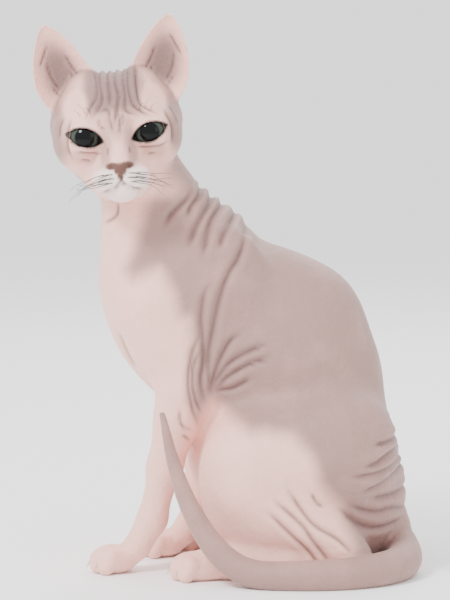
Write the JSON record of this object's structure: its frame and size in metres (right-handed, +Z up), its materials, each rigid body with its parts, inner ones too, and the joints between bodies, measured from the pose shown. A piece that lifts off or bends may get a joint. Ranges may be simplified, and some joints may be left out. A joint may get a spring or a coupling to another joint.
{
  "type": "cat",
  "caption": "Life-size still model of a hairless sphynx cat, seated, its head turned to its left and its tail laid round its left side",
  "frame": {"origin": "centre of the bounding box, at the level of the floor it sits on", "axes": "+Z up. The body faces -Y, +X is the cat's left, the side that the face and the tail are turned to"},
  "size_m": [0.1858, 0.2762, 0.3972],
  "materials": {
    "skin": "satin",
    "pale_skin": "satin",
    "ear": "satin",
    "eye": "polished"
  },
  "bodies": {
    "root": {"head": "skin", "neck": "skin", "torso": "skin", "tail_root": "skin", "tail_middle": "skin", "tail_tip": "skin", "foreleg_left": "pale_skin", "foreleg_right": "pale_skin", "hindleg_left": "pale_skin", "hindleg_right": "pale_skin", "ear_left": "ear", "ear_right": "ear", "eye_left": "eye", "eye_right": "eye"}
  },
  "joints": []
}
